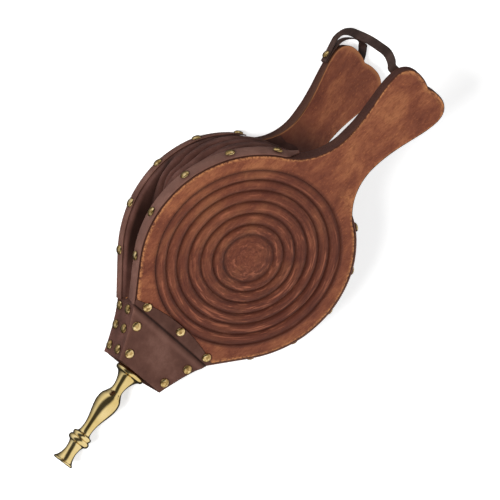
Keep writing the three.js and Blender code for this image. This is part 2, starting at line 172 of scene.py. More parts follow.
class Side:
    """A run of the outline: points and the directions that point out of the board."""

    def __init__(self, points, normals):
        self.points = np.array(points, float)
        self.normals = np.array(normals, float)
        self.normals /= np.linalg.norm(self.normals, axis=1)[:, None]

    def __add__(self, other):
        joined = np.vstack([self.points, other.points[1:]])
        return Side(joined, np.vstack([self.normals, other.normals[1:]]))

    def mirrored(self):
        return Side(self.points[::-1] * [1, -1], self.normals[::-1] * [1, -1])

    def at(self, places, where):
        """The side read at new places, where `where` gives the place of each of its points."""
        order = np.argsort(where)
        column = lambda values: np.interp(places, where[order], values[order])
        read = lambda pairs: np.stack([column(pairs[:, 0]), column(pairs[:, 1])], 1)
        return Side(read(self.points), read(self.normals))

    def even(self, count):
        """The same side with count evenly spaced points."""
        along = run_lengths(self.points)
        return self.at(np.linspace(0, along[-1], count), along)


def bezier(steps, *coordinates):
    a, b, c, d = np.array(coordinates, float).reshape(4, 2)
    t = np.linspace(0, 1, steps + 1)[:, None]
    points = (1 - t) ** 3 * a + 3 * (1 - t) ** 2 * t * b + 3 * (1 - t) * t**2 * c + t**3 * d
    slope = (1 - t) ** 2 * (b - a) + 2 * (1 - t) * t * (c - b) + t**2 * (d - c)
    return Side(points, np.stack([-slope[:, 1], slope[:, 0]], 1))


def arc(steps, x, y, radius, start, end):
    angles = np.linspace(start, end, steps + 1)
    ray = np.stack([np.cos(angles), np.sin(angles)], 1)
    outward = ray if end < start else -ray
    return Side(np.array([x, y]) + radius * ray, outward)


NECK_ANGLE = math.asin((NECK_HALF + NECK_RADIUS) / (DISC_RADIUS + NECK_RADIUS))
NECK_X = DISC_X + (DISC_RADIUS + NECK_RADIUS) * math.cos(NECK_ANGLE)
NECK_Y = NECK_HALF + NECK_RADIUS
SHOULDER_X = DISC_X + DISC_RADIUS * math.cos(SHOULDER_ANGLE)
SHOULDER_Y = DISC_RADIUS * math.sin(SHOULDER_ANGLE)

nose_side = bezier(
    16, NOSE_X, NOSE_HALF, -140 * mm, 32 * mm, -118 * mm, 41.5 * mm, CREASE_X, CREASE_HALF
)
shoulder_side = bezier(
    14, CREASE_X, CREASE_HALF, -94 * mm, 60.6 * mm,
    SHOULDER_X - 13.1 * mm, SHOULDER_Y - 9.2 * mm, SHOULDER_X, SHOULDER_Y,
)
disc_side = arc(110, DISC_X, 0, DISC_RADIUS, SHOULDER_ANGLE, NECK_ANGLE)
neck_side = arc(14, NECK_X, NECK_Y, NECK_RADIUS, NECK_ANGLE - math.pi, -math.pi / 2)
handle_side = bezier(
    14, NECK_X, NECK_HALF, NECK_X + 31 * mm, NECK_HALF,
    195 * mm, HANDLE_HALF, HANDLE_WIDE_X, HANDLE_HALF,
)
corner_side = bezier(
    12, HANDLE_WIDE_X, HANDLE_HALF, 228 * mm, HANDLE_HALF, LOBE_X, 26 * mm, LOBE_X, LOBE_Y
)
lobe_side = bezier(12, LOBE_X, LOBE_Y, LOBE_X, 9 * mm, 233 * mm, 4 * mm, NOTCH_X, 0)

# ---- Meshes ----


class Grid:
    """Points and faces of a piece while it is made."""

    def __init__(self):
        self.points = []
        self.faces = []

    def row(self, points):
        start = len(self.points)
        self.points.extend(tuple(p) for p in points)
        return list(range(start, len(self.points)))

    def strip(self, a, b, closed=False):
        for i in range(len(a) - (0 if closed else 1)):
            j = (i + 1) % len(a)
            self.faces.append((a[i], a[j], b[j], b[i]))

    def fan(self, centre, ring):
        for i in range(len(ring)):
            self.faces.append((centre, ring[i], ring[(i + 1) % len(ring)]))

    def solid(self, rings):
        """Joins closed rings of points into a solid with flat ends."""
        rows = [self.row(ring) for ring in rings]
        for a, b in zip(rows, rows[1:]):
            self.strip(a, b, closed=True)
        self.faces += [tuple(reversed(rows[0])), tuple(rows[-1])]
        return self


SHARP = 35


def shade_smooth(mesh, sharp):
    """Smooth shading, but for edges over an angle in degrees."""
    for polygon in mesh.polygons:
        polygon.use_smooth = True
    mesh.set_sharp_from_angle(angle=math.radians(sharp))


def make(name, grid, material, sharp=SHARP, rest=None):
    """A piece from a grid. rest holds the coordinates that its material is laid out on."""
    mesh = bpy.data.meshes.new(name)
    mesh.from_pydata([tuple(p) for p in grid.points], [], grid.faces)
    mesh.validate()
    piece = bpy.data.objects.new(name, mesh)
    bpy.context.scene.collection.objects.link(piece)
    piece.data.materials.append(material)
    shade_smooth(mesh, sharp)
    set_rest(piece, grid.points if rest is None else rest)
    return piece


def set_value(piece, name, values):
    data = piece.data.attributes.get(name) or piece.data.attributes.new(name, "FLOAT", "POINT")
    data.data.foreach_set("value", np.asarray(values, np.float32))


def set_rest(piece, points, name="rest"):
    data = piece.data.attributes.get(name)
    data = data or piece.data.attributes.new(name, "FLOAT_VECTOR", "POINT")
    data.data.foreach_set("vector", np.asarray(points, np.float32).ravel())


def coordinates(piece):
    found = np.zeros(len(piece.data.vertices) * 3)
    piece.data.vertices.foreach_get("co", found)
    return found.reshape(-1, 3)


def move_points(piece, points):
    piece.data.vertices.foreach_set("co", np.asarray(points, np.float32).ravel())
    piece.data.update()


def shell(grid_points, thickness):
    """A closed sheet of leather round a surface given as [station][row] points."""
    surface = np.array(grid_points, float)
    along = np.gradient(surface, axis=0)
    across = np.gradient(surface, axis=1)
    normal = np.cross(along, across)
    normal /= np.linalg.norm(normal, axis=2)[:, :, None] + 1e-12
    stations, rows = surface.shape[:2]
    grid = Grid()
    sides = []
    for sign in (1, -1):
        layer = surface + sign * normal * thickness / 2
        sides.append([grid.row(layer[s]) for s in range(stations)])
    top, bottom = sides
    for s in range(stations - 1):
        grid.strip(top[s + 1], top[s])
        grid.strip(bottom[s], bottom[s + 1])
    grid.strip(top[0], bottom[0])
    grid.strip(bottom[-1], top[-1])
    for row, first, second in ((0, bottom, top), (rows - 1, top, bottom)):
        grid.strip([layer[row] for layer in first], [layer[row] for layer in second])
    return grid


def rounded_section(width, thickness, radius, steps=3):
    """A rounded rectangle, centred, as (across, normal) pairs."""
    points = []
    for corner, (sa, sn) in enumerate([(1, 1), (-1, 1), (-1, -1), (1, -1)]):
        for k in range(steps + 1):
            angle = math.radians(90 * corner + 90 * k / steps)
            a = sa * (width / 2 - radius) + radius * math.cos(angle)
            n = sn * (thickness / 2 - radius) + radius * math.sin(angle)
            points.append((a, n))
    return points


def facing_out(piece):
    """Turns all faces of a closed piece outwards."""
    work = bmesh.new()
    work.from_mesh(piece.data)
    bmesh.ops.recalc_face_normals(work, faces=work.faces)
    work.to_mesh(piece.data)
    work.free()
    return piece


# ---- Materials ----


def colour(red, green, blue):
    """A linear colour from a screen colour of 0 to 255."""
    channel = lambda v: v / 12.92 if v <= 0.04045 else ((v + 0.055) / 1.055) ** 2.4
    return tuple(channel(v / 255) for v in (red, green, blue)) + (1.0,)


class Nodes:
    """Adds nodes to the tree of a material or of the world."""

    def __init__(self, owner):
        owner.use_nodes = True
        self.nodes = owner.node_tree.nodes
        self.links = owner.node_tree.links

    def put(self, socket, value):
        if isinstance(value, bpy.types.NodeSocket):
            self.links.new(value, socket)
        else:
            socket.default_value = value

    def math(self, operation, a, b=0.0):
        node = self.nodes.new("ShaderNodeMath")
        node.operation = operation
        self.put(node.inputs[0], a)
        self.put(node.inputs[1], b)
        return node.outputs[0]

    def remap(self, value, low, high, to_low=0.0, to_high=1.0):
        node = self.nodes.new("ShaderNodeMapRange")
        node.interpolation_type = "SMOOTHSTEP"
        self.put(node.inputs["Value"], value)
        for name, number in (
            ("From Min", low), ("From Max", high), ("To Min", to_low), ("To Max", to_high)
        ):
            self.put(node.inputs[name], number)
        return node.outputs["Result"]


class Tree(Nodes):
    """The nodes of one material."""

    def __init__(self, name, roughness=0.5, metallic=0.0, specular=0.25):
        self.material = bpy.data.materials.new(name)
        super().__init__(self.material)
        self.shader = self.nodes["Principled BSDF"]
        self.put(self.shader.inputs["Roughness"], roughness)
        self.put(self.shader.inputs["Metallic"], metallic)
        self.put(self.shader.inputs["Specular IOR Level"], specular)
        self.place = self.value("rest", "Vector")

    def value(self, name, output="Fac"):
        node = self.nodes.new("ShaderNodeAttribute")
        node.attribute_name = name
        return node.outputs[output]

    def scaled(self, *scale):
        node = self.nodes.new("ShaderNodeVectorMath")
        node.operation = "MULTIPLY"
        self.put(node.inputs[0], self.place)
        self.put(node.inputs[1], scale)
        return node.outputs[0]

    def noise(self, scale, detail=3.0, roughness=0.5, distortion=0.0):
        node = self.nodes.new("ShaderNodeTexNoise")
        self.put(node.inputs["Vector"], self.scaled(*scale))
        self.put(node.inputs["Scale"], 1.0)
        self.put(node.inputs["Detail"], detail)
        self.put(node.inputs["Roughness"], roughness)
        self.put(node.inputs["Distortion"], distortion)
        return node.outputs["Fac"]

    def cells(self, scale):
        node = self.nodes.new("ShaderNodeTexVoronoi")
        self.put(node.inputs["Vector"], self.scaled(*scale))
        self.put(node.inputs["Scale"], 1.0)
        return node.outputs["Distance"]

    def ramp(self, value, *stops):
        node = self.nodes.new("ShaderNodeValToRGB")
        elements = node.color_ramp.elements
        while len(elements) < len(stops):
            elements.new(0.5)
        for element, (place, tint) in zip(elements, stops):
            element.position = place
            element.color = tint
        self.put(node.inputs["Fac"], value)
        return node.outputs["Color"]

    def mix(self, share, a, b):
        node = self.nodes.new("ShaderNodeMix")
        node.data_type = "RGBA"
        self.put(node.inputs[0], share)
        self.put(node.inputs[6], a)
        self.put(node.inputs[7], b)
        return node.outputs[2]

    def stain(self, base, share, most, tint):
        """The base with up to `most` of a tint where share is 1."""
        return self.mix(self.math("MULTIPLY", share, most), base, tint)

    def bump(self, height, strength, distance, under=None):
        node = self.nodes.new("ShaderNodeBump")
        self.put(node.inputs["Strength"], strength)
        self.put(node.inputs["Distance"], distance)
        self.put(node.inputs["Height"], height)
        if under is not None:
            self.put(node.inputs["Normal"], under)
        return node.outputs["Normal"]

    def finish(self, base, roughness=None, normal=None):
        self.put(self.shader.inputs["Base Color"], base)
        if roughness is not None:
            self.put(self.shader.inputs["Roughness"], roughness)
        if normal is not None:
            self.put(self.shader.inputs["Normal"], normal)
        return self.material


def wood_material():
    tree = Tree("stained_wood", specular=0.2)
    blotch = tree.noise((26, 46, 46), 4, 0.6, 0.5)
    base = tree.ramp(
        blotch,
        (0.3, colour(92, 47, 34)),
        (0.46, colour(118, 66, 46)),
        (0.56, colour(136, 81, 55)),
        (0.7, colour(156, 99, 66)),
    )
    # short fibres, pores and specks along the grain
    mottle = tree.noise((220, 520, 520), 5, 0.72)
    base = tree.mix(tree.remap(mottle, 0.46, 0.66, 0.0, 0.42), base, colour(84, 41, 28))
    pale = tree.noise((330, 800, 800), 4, 0.68)
    base = tree.mix(tree.remap(pale, 0.54, 0.72, 0.0, 0.42), base, colour(178, 108, 68))
    fibre = tree.noise((160, 2600, 2600), 3, 0.6)
    base = tree.mix(tree.remap(fibre, 0.42, 0.62, 0.0, 0.2), base, colour(74, 35, 25))
    # the dark attribute darkens the turned part, more towards the nose and the right as painted shade, and the
    # rear handle near the body as a painted shadow; the grooves get painted shade, and streaks run round the
    # turned part
    dark = tree.value("dark")
    base = tree.stain(base, dark, 0.8, colour(80, 40, 30))
    tree.place = tree.value("polar", "Vector")
    streak = tree.noise((420, 26, 26), 4, 0.6, 0.4)
    base = tree.stain(base, dark, tree.remap(streak, 0.52, 0.68, 0.0, 0.75), colour(156, 94, 70))
    base = tree.stain(base, dark, tree.remap(streak, 0.48, 0.34, 0.0, 0.6), colour(58, 26, 20))
    base = tree.stain(base, tree.value("groove"), 0.78, colour(50, 21, 13))
    # the rounded edges are stained darker, and the inner face beside the crease takes the same colour as painted
    # shade; places of wear and the line round each face are paler, partly wear and partly painted highlight
    base = tree.stain(base, tree.value("edge"), 0.9, colour(46, 23, 18))
    pale_patchiness = tree.remap(tree.noise((420, 420, 420), 4, 0.7), 0.36, 0.62)
    base = tree.stain(base, tree.value("wear_and_highlight"), pale_patchiness, colour(182, 122, 78))
    roughness = tree.remap(mottle, 0.4, 0.65, 0.42, 0.56)
    normal = tree.bump(fibre, 0.25, 0.0002)
    normal = tree.bump(mottle, 0.3, 0.0004, normal)
    return tree.finish(base, roughness, normal)


def leather_material(name, dark, mid, light, roughness=(0.62, 0.5), grain=0.35):
    """A leather of three colours, with attributes for its pale rims, partly wear and partly painted highlight, and
    for painted shade in hollows and at the crease.
    """
    tree = Tree(name, specular=0.14)
    cloud = tree.noise((45, 45, 45), 4, 0.55)
    base = tree.ramp(cloud, (0.3, dark), (0.5, mid), (0.7, light))
    pores = tree.cells((1100, 1100, 1100))
    wrinkle = tree.noise((420, 420, 420), 4, 0.6, 0.6)
    base = tree.mix(tree.remap(wrinkle, 0.4, 0.62, 0.0, 0.18), base, dark)
    base = tree.stain(base, tree.value("wear_and_highlight"), 0.6, light)
    base = tree.stain(base, tree.value("shade"), 0.96, colour(27, 13, 9))
    rough = tree.remap(cloud, 0.35, 0.65, *roughness)
    normal = tree.bump(pores, grain * 0.5, 0.0002)
    normal = tree.bump(wrinkle, grain, 0.0003, normal)
    return tree.finish(base, rough, normal)


def nozzle_material():
    tree = Tree("polished_brass", metallic=1.0, specular=0.5)
    tarnish = tree.noise((60, 60, 60), 3, 0.5)
    base = tree.ramp(tarnish, (0.35, colour(208, 182, 118)), (0.65, colour(226, 203, 146)))
    lines = tree.noise((1400, 6, 6), 2, 0.5)
    rough = tree.remap(tarnish, 0.3, 0.7, 0.12, 0.2)
    return tree.finish(base, rough, tree.bump(lines, 0.06, 0.0001))


def tack_material():
    tree = Tree("dull_brass", metallic=1.0, specular=0.5)
    patches = tree.noise((330, 330, 330), 3, 0.6)
    base = tree.ramp(
        patches,
        (0.34, colour(134, 106, 62)),
        (0.50, colour(186, 156, 100)),
        (0.64, colour(232, 208, 156)),
    )
    rough = tree.remap(patches, 0.35, 0.6, 0.42, 0.26)
    return tree.finish(base, rough, tree.bump(patches, 0.12, 0.0003))


wood = wood_material()
trim_leather = leather_material(
    "trim_leather", colour(74, 48, 41), colour(90, 60, 51), colour(108, 76, 66)
)
gusset_leather = leather_material(
    "gusset_leather", colour(62, 38, 32), colour(78, 49, 42), colour(96, 63, 55), grain=0.5
)
strap_leather = leather_material(
    "strap_leather", colour(36, 24, 20), colour(50, 35, 30), colour(74, 55, 49), (0.5, 0.4)
)
valve_leather = leather_material(
    "valve_leather", colour(104, 72, 46), colour(128, 91, 60), colour(150, 112, 78)
)
polished_brass = nozzle_material()
dull_brass = tack_material()

# ---- Boards ----

SIDE_STEPS = 182
MOUTH_STEPS = 36
OUTER_ROWS = 4
EDGE_STEPS = 5


def ring_depth(radius):
    """How far the turned front face lies below the board's face at a radius in metres."""
    r = radius / mm
    if r <= GROOVES[0]:
        bowl = DOME_DEPTH / mm + 0.8 * (r / (DOME_RADIUS / mm)) ** 2
        edge = max(0.0, (r - DOME_RADIUS / mm) / (GROOVES[0] - DOME_RADIUS / mm))
        return (bowl * (1 - edge) + GROOVE_DEPTHS[0] * edge**0.8 if edge else bowl) * mm
    for i, crest in enumerate(CREST_DEPTHS):
        low, high = GROOVES[i], GROOVES[i + 1]
        if r <= high:
            share = (r - low) / (high - low)
            valley = GROOVE_DEPTHS[i] * (1 - share) + GROOVE_DEPTHS[i + 1] * share
            swell = max(0.0, 1 - (2 * share - 1) ** 2) ** 0.95
            return (valley - (valley - crest) * swell) * mm
    share = min(1.0, (r - GROOVES[-1]) / RINGS_RIM)
    return GROOVE_DEPTHS[-1] * (1 - share) * mm


def ring_radii():
    """Radii of the polar rows, close together at the grooves."""
    radii = list(np.linspace(3, 18, 6)) + [20, 22, 23.5, GROOVES[0]]
    for low, high in zip(GROOVES, GROOVES[1:]):
        shares = 0.5 - 0.5 * np.cos(np.linspace(0, math.pi, 10))
        radii += list(low + (high - low) * shares[1:])
    radii += [GROOVES[-1] + RINGS_RIM / 2, GROOVES[-1] + RINGS_RIM, RINGS_END / mm]
    return [r * mm for r in radii]


def rim_loop(end_x, start):
    """The outline in three parts: anticlockwise beside the disc, one side of the handle, and the
    handle's end."""
    end_half = start.points[0][1]
    straight = Side([(end_x, y) for y in np.linspace(0, end_half, 12)], [(-1, 0)] * 12)
    left = straight + start
    angle = np.arctan2(left.points[:, 1], left.points[:, 0] - DISC_X)
    half = np.linspace(NECK_ANGLE, math.pi, SIDE_STEPS // 2 + 1)
    left_half = left.at(half, angle)
    columns = 2 * OUTER_ROWS + MOUTH_STEPS + 1
    end = (corner_side + lobe_side) + (corner_side + lobe_side).mirrored()
    end.normals[len(end.normals) // 2] = (1, 0)
    return left_half + left_half.mirrored(), neck_side + handle_side, end.even(columns)


def inset(side, distance):
    """The points of a side moved into the board."""
    return side.points - side.normals * distance


def board_face(grid, loop, radii, distance, height):
    """Adds a face whose rim is inset by distance. Returns the rim's indices, once round."""
    beside, out, end = loop
    place = lambda points: [(x, y, height(x, y)) for x, y in points]
    angles = np.linspace(NECK_ANGLE, 2 * math.pi - NECK_ANGLE, SIDE_STEPS + 1)[:-1]
    mouth = np.linspace(-NECK_ANGLE, NECK_ANGLE, MOUTH_STEPS + 1)[:-1]
    angles = np.concatenate([angles, mouth])
    ray = np.stack([np.cos(angles), np.sin(angles)], 1)
    middle = grid.row(place([(DISC_X, 0)]))[0]
    ring = None
    for radius in radii:
        outer = grid.row(place(np.array([DISC_X, 0]) + radius * ray))
        if ring is None:
            grid.fan(middle, outer)
        else:
            grid.strip(outer, ring, closed=True)
        ring = outer
    ring_points = np.array([DISC_X, 0]) + radii[-1] * ray
    # beside the disc, out to the rim
    start = ring_points[: SIDE_STEPS + 1]
    rim = inset(beside, distance)
    rows = [ring[: SIDE_STEPS + 1]]
    for k in range(1, OUTER_ROWS + 1):
        rows.append(grid.row(place(start + (rim - start) * k / OUTER_ROWS)))
        grid.strip(rows[-1], rows[-2])
    # the handle, a patch between the mouth, the two sides and the end
    base = [row[0] for row in reversed(rows)] + ring[:SIDE_STEPS:-1]
    base += [row[SIDE_STEPS] for row in rows]
    base_points = np.array([grid.points[i][:2] for i in base])
    left = inset(out, distance)
    right = left * [1, -1]
    top = inset(end, distance)
    along = run_lengths(left)
    across = np.linspace(0, 1, len(base))[:, None]
    previous = base
    lefts, rights = [], []
    for j in range(1, len(left)):
        points = mix(base_points, top, along[j] / along[-1])
        points = points + mix(left[j], right[j], across) - mix(points[0], points[-1], across)
        row = grid.row(place(points))
        grid.strip(row, previous)
        previous = row
        lefts.append(row[0])
        rights.append(row[-1])
    return rows[-1] + rights + previous[-2:0:-1] + lefts[::-1]


def loop_points(loop, distance):
    """The outline inset by distance, in the order of board_face's rim."""
    beside, out, end = loop
    left = inset(out, distance)[1:]
    right = left * [1, -1]
    top = inset(end, distance)
    return np.vstack([inset(beside, distance), right, top[-2:0:-1], left[::-1]])


def board(loop, rim_z, top, bottom, top_radii, bottom_radii, top_round, bottom_round):
    """A board between two faces with rounded edges. top and bottom give heights at x, y, and
    rim_z is the height of the upper face's rim."""
    grid = Grid()
    previous = board_face(grid, loop, top_radii, top_round, top)
    quarter = np.linspace(0, math.pi / 2, EDGE_STEPS + 1)
    levels = [(a, top_round, -1, lambda x, y: rim_z) for a in quarter[1:]]
    levels += [(a, bottom_round, 1, bottom) for a in quarter[:0:-1]]
    for angle, rounding, sign, height in levels:
        points = loop_points(loop, rounding * (1 - math.sin(angle)))
        rise = sign * rounding * (1 - math.cos(angle))
        row = grid.row([(x, y, height(x, y) + rise) for x, y in points])
        grid.strip(row, previous, closed=True)
        previous = row
    below = Grid()
    rim_bottom = board_face(below, loop, bottom_radii, bottom_round, bottom)
    start = len(grid.points)
    grid.points.extend(below.points)
    grid.faces.extend(tuple(start + i for i in reversed(face)) for face in below.faces)
    grid.strip([start + i for i in rim_bottom], previous, closed=True)
    return grid


def taper(x):
    """How much thinner a board is at x than at its body."""
    return TAPER * min(1.0, max(0.0, (x - TAPER_START) / (TAPER_END - TAPER_START)))


def carve(piece, *tools):
    """Cuts closed tools out of a piece."""
    for tool in tools:
        cut = piece.modifiers.new("cut", "BOOLEAN")
        cut.operation = "DIFFERENCE"
        cut.solver = "EXACT"
        cut.object = tool
    evaluated = piece.evaluated_get(bpy.context.evaluated_depsgraph_get())
    mesh = bpy.data.meshes.new_from_object(evaluated)
    piece.modifiers.clear()
    piece.data = mesh
    for tool in tools:
        bpy.data.objects.remove(tool)
    shade_smooth(mesh, SHARP)
    return piece


def circle(place, axis, radius, distance, segments):
    """A circle round an axis from a place, at a distance along it. One of no radius is a point."""
    turn = Vector((0, 0, 1)).rotation_difference(axis)
    if radius < 1e-9:
        return [place + turn @ Vector((0, 0, distance))]
    return [
        place + turn @ Vector((radius * math.cos(a), radius * math.sin(a), distance))
        for a in np.linspace(0, 2 * math.pi, segments, endpoint=False)
    ]


def cylinder_tool(radius, start, end, segments=64):
    start, end = Vector(start), Vector(end)
    axis = (end - start).normalized()
    grid = Grid().solid([circle(place, axis, radius, 0, segments) for place in (start, end)])
    return facing_out(make("tool", grid, wood))


def box_tool(low, high):
    corners = [(low[0], low[1]), (high[0], low[1]), (high[0], high[1]), (low[0], high[1])]
    grid = Grid().solid([[(x, y, z) for x, y in corners] for z in (low[2], high[2])])
    return facing_out(make("tool", grid, wood))


def air_tool():
    return cylinder_tool(AIR_RADIUS, (CREASE_X - 10 * mm, 0, AIR_Z), (-60 * mm, 0, AIR_Z), 32)


def outline_distance(points, loop):
    """Distance of each point to the outline, in the board's plane."""
    outline = loop_points(loop, 0)
    nearest = np.full(len(points), 1.0)
    for start, end in zip(outline, np.roll(outline, -1, axis=0)):
        run = end - start
        share = np.clip(((points - start) @ run) / max(run @ run, 1e-12), 0, 1)
        gap = np.linalg.norm(points - start - share[:, None] * run, axis=1)
        nearest = np.minimum(nearest, gap)
    return nearest


# a patch of wear at one shoulder, the width of the pale line round a face, which is partly wear and
# partly painted highlight, and how wide a groove's painted shade is, in millimetres
WORN_PATCH = np.array([106 * mm, -36 * mm])
WORN_PATCH_SIZE = np.array([7 * mm, 15 * mm])
WEAR_AND_HIGHLIGHT_LINE = 0.55 * mm
GROOVE_SHADE = 2.0


def board_looks(piece, loop, face_z, face_round, inner_z):
    """Sets where a board's edges are stained, and where it is pale from wear and painted highlight, from
    its shape. The inner face beside the crease, where it shows in the fold, gets the stained edges' colour as
    painted shade."""
    points = coordinates(piece)
    distance = outline_distance(points[:, :2], loop)
    below = face_z - points[:, 2]
    near = 1 - np.clip((distance - face_round * 0.7) / (face_round * 0.5), 0, 1)
    on_side = (distance < face_round * 0.9) | (below > THICK * 0.9)
    edge = np.where(on_side & (below > face_round), 1.0, near)
    # a pale line round the face's rounded edge, partly wear and partly painted highlight
    wear_and_highlight = np.exp(-(((distance - face_round) / WEAR_AND_HIGHLIGHT_LINE) ** 2))
    patch = np.linalg.norm((points[:, :2] - WORN_PATCH) / WORN_PATCH_SIZE, axis=1)
    wear_and_highlight = np.maximum(wear_and_highlight, 0.7 * np.exp(-(patch**2))) * (below < 0.8 * mm)
    # painted shade in the fold: the inner face beside the crease takes the stained edges' colour
    near_crease = (points[:, 0] < -80 * mm) & (np.abs(points[:, 1]) > 40 * mm)
    inside = np.abs(points[:, 2] - inner_z) < 1 * mm
    set_value(piece, "edge", np.maximum(edge * (below < THICK * 0.97), near_crease & inside))
    set_value(piece, "wear_and_highlight", wear_and_highlight)
    set_rest(piece, points)


front_loop = rim_loop(CREASE_X + GAP, shoulder_side + disc_side)
rear_loop = rim_loop(NOSE_X, nose_side + shoulder_side + disc_side)
PLAIN_RADII = [r * mm for r in (20, 40, 60, 80, 95)]


def make_front_board():
    top = lambda x, y: FRONT_FACE - ring_depth(math.hypot(x - DISC_X, y))
    bottom = lambda x, y: FRONT_INNER + taper(x)
    grid = board(
        front_loop, FRONT_FACE, top, bottom,
        ring_radii(), PLAIN_RADII, FACE_ROUND, INNER_ROUND,
    )
    piece = carve(make("front_board_turned", grid, wood), air_tool())
    board_looks(piece, front_loop, FRONT_FACE, FACE_ROUND, FRONT_INNER)
    points = coordinates(piece)
    radius = np.hypot(points[:, 0] - DISC_X, points[:, 1]) / mm
    on_face = points[:, 2] > FRONT_FACE - 4 * mm
    # painted shade along each groove
    groove = np.zeros(len(points))
    for place in GROOVES:
        groove = np.maximum(groove, np.exp(-(((radius - place) / GROOVE_SHADE) ** 2)))
    set_value(piece, "groove", groove * on_face)
    # the turned part is darker, and darker still towards the nose and the right as painted shade, which reaches
    # the rest of the face too; it is paler in the middle
    lower = (-0.45 * (points[:, 0] - DISC_X) - 0.89 * points[:, 1]) / DISC_RADIUS
    turned_part = 1 - np.clip((radius - 90) / 4, 0, 1)
    middle = 0.5 * np.exp(-((radius / 10) ** 2))
    darkening_and_shade = turned_part * (0.76 + 0.24 * lower - middle) + 0.2 * (lower + 0.2)
    set_value(piece, "dark", darkening_and_shade.clip(0, 1) * on_face)
    angle = np.arctan2(points[:, 1], points[:, 0] - DISC_X)
    polar = np.stack([radius * mm, 0.1 * np.cos(angle), 0.1 * np.sin(angle)], 1)
    set_rest(piece, polar, "polar")
    move_points(piece, opened(points))
    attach(piece, FRONT)
    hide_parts("front_board")


def make_rear_board():
    top = lambda x, y: THICK
    bottom = lambda x, y: taper(x)
    grid = board(
        rear_loop, THICK, top, bottom, PLAIN_RADII, PLAIN_RADII, INNER_ROUND, FACE_ROUND
    )
    piece = carve(
        make("rear_board_plain", grid, wood),
        box_tool((NOSE_X - 10 * mm, -100 * mm, NOSE_FLOOR), (CREASE_X, 100 * mm, 30 * mm)),
        cylinder_tool(INTAKE_RADIUS, (INTAKE_X, 0, -10 * mm), (INTAKE_X, 0, 30 * mm)),
        air_tool(),
    )
    board_looks(piece, rear_loop, THICK, INNER_ROUND, THICK)
    points = coordinates(piece)
    # painted shadow of the front board on the rear handle's inner face, near the body
    shadow_near_body = 1 - smooth_step(points[:, 0] - 0.4 * points[:, 1], 128 * mm, 150 * mm)
    set_value(piece, "dark", 0.95 * shadow_near_body * (points[:, 2] > THICK - 1 * mm))
    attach(piece, REAR)
    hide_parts("rear_board")


make_front_board()
make_rear_board()

nose_block = frame["nodes"]["nose_block"]
nose_block.data.materials.clear()
nose_block.data.materials.append(wood)
set_rest(nose_block, coordinates(nose_block))
set_value(nose_block, "edge", np.ones(len(nose_block.data.vertices)))

# ---- Nozzle: radius and distance from the nose face, in millimetres ----

NOZZLE_PROFILE = [
    (14, 0), (15.1, 1.2), (15.2, 3), (14.2, 4.6), (12.6, 5.2), (11.4, 6), (9.8, 8), (8.2, 11),
    (6.7, 15.5), (6, 20), (6.5, 24), (8.6, 28), (10.7, 32), (11.5, 37.5), (11, 43),
    (9.4, 49.5), (7.4, 56.5), (5.9, 64), (5.8, 71), (6.9, 74), (9.2, 75), (10, 76.6), (9.4, 78.4),
    (9.3, 79), (10.5, 80), (11.1, 82), (10.2, 84.2), (8.2, 85.4), (7, 88), (6.3, 92), (6.3, 96.5),
    (7.4, 101), (9.3, 104.6), (10.4, 105.8), (10.4, 106.8), (9.2, 107.6),
]
NOZZLE_BORE = 4
SPIGOT_RADIUS = 6.4
SPIGOT_LENGTH = 18


def smooth_profile(points, steps):
    """A Catmull-Rom curve through the points."""
    p = np.array(points, float)
    p = np.vstack([2 * p[0] - p[1], p, 2 * p[-1] - p[-2]])
    curve = []
    for i in range(1, len(p) - 2):
        for k in range(steps):
            t = k / steps
            a, b, c, d = p[i - 1 : i + 3]
            bend = (2 * a - 5 * b + 4 * c - d) * t**2 + (3 * b - a - 3 * c + d) * t**3
            curve.append(0.5 * (2 * b + (c - a) * t + bend))
    curve.append(p[-2])
    return curve


def turned(name, profile, place, axis, material, segments, closed=True):
    """A turned piece: profile is (radius, distance along the axis). A closed one is hollow."""
    grid = Grid()
    rows = [grid.row(circle(place, Vector(axis), r, d, segments)) for r, d in profile]
    pairs = list(zip(rows, rows[1:]))
    if closed:
        pairs.append((rows[-1], rows[0]))
    for a, b in pairs:
        if len(a) == 1:
            grid.fan(a[0], b)
        elif len(b) == 1:
            grid.fan(b[0], a)
        else:
            grid.strip(a, b, closed=True)
    return facing_out(make(name, grid, material, sharp=50))


def make_nozzle():
    curve = smooth_profile(NOZZLE_PROFILE, 5)
    profile = [(NOZZLE_BORE, -SPIGOT_LENGTH), (SPIGOT_RADIUS, -SPIGOT_LENGTH), (SPIGOT_RADIUS, 0)]
    profile += curve + [(6.0, 107.6), (NOZZLE_BORE, 106.6), (NOZZLE_BORE, 60)]
    profile = [(r * mm, d * mm) for r, d in profile]
    place = Vector((NOSE_X - GAP, 0, AIR_Z))
    piece = turned("nozzle_turned", profile, place, (-1, 0, 0), polished_brass, 72)
    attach(piece, REAR)
    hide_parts("nozzle")


make_nozzle()

# ---- Gusset ----

# how many rows of points the gusset has between its rims
FOLD_ROWS = 52
# how far the leather laps on to the rear board at the neck, how high it lies on the board's inner
# face round the back, and how far inside the boards' edges the folds start elsewhere
LAP = 12 * mm
LEDGE = 0.9 * mm
FOLD_EDGE = 0.4 * mm
# the slanted folds, in degrees round the bellows: how far one slants, from one to the next,
# and where they start
FOLD_SLANT = 125
FOLD_PERIOD = 38
FOLD_START = 62
# slack folds up to one angle from the handle, and one deep fold beyond the other
SLACK_ANGLE = 82
DEEP_ANGLE = 110
DEEPEST = 24 * mm


